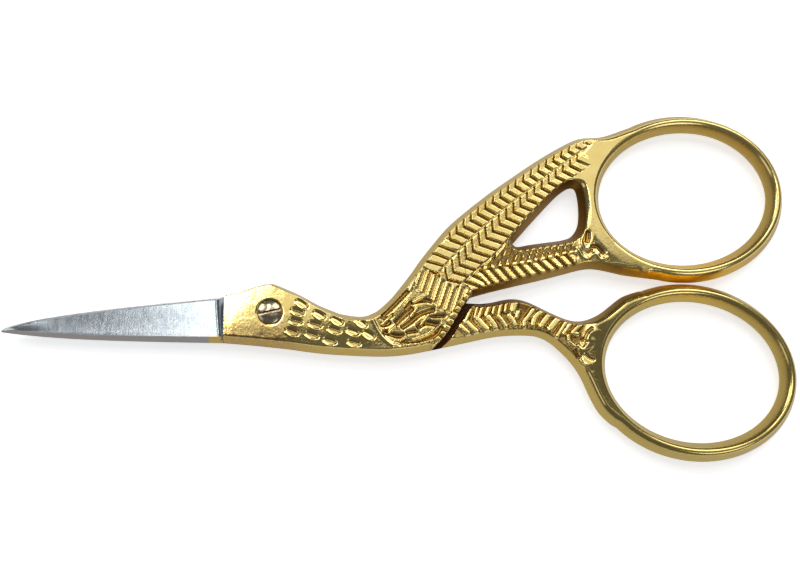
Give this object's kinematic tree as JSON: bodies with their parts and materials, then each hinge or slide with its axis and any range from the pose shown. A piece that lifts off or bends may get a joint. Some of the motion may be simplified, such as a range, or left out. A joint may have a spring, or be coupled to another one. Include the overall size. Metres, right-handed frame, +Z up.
{
  "type": "stork embroidery scissors",
  "caption": "Small gilt embroidery scissors shaped as a stork: slim pointed blades for the beak, a feathered body and legs, two oval finger rings and a slotted pivot screw.",
  "frame": {"origin": "middle of the underside of the closed scissors lying flat, under the centre of their bounding box", "axes": "+X from the blade tips to the finger rings, +Y from the lower finger ring to the upper one, +Z up out of the front face that holds the screw head"},
  "size_m": [0.1148, 0.053, 0.0041],
  "materials": {
    "blade_steel": "ground and polished bare steel with fine grinding lines across the blade",
    "gold_plate": "bright gold plating over forged steel, polished on the raised parts and darker in the recesses",
    "screw_metal": "plated slotted screw, polished dome"
  },
  "bodies": {
    "rear_half": {"rear_blade": "blade_steel", "rear_handle": "gold_plate", "pivot_screw": "screw_metal"},
    "front_half": {"front_blade": "blade_steel", "front_handle": "gold_plate"}
  },
  "joints": [
    {"name": "pivot", "type": "hinge", "parent": "rear_half", "child": "front_half", "pos_m": [-0.02098, -0.00619, 0.0019], "axis": [0, 0, 1], "range_deg": [0, 65]}
  ]
}
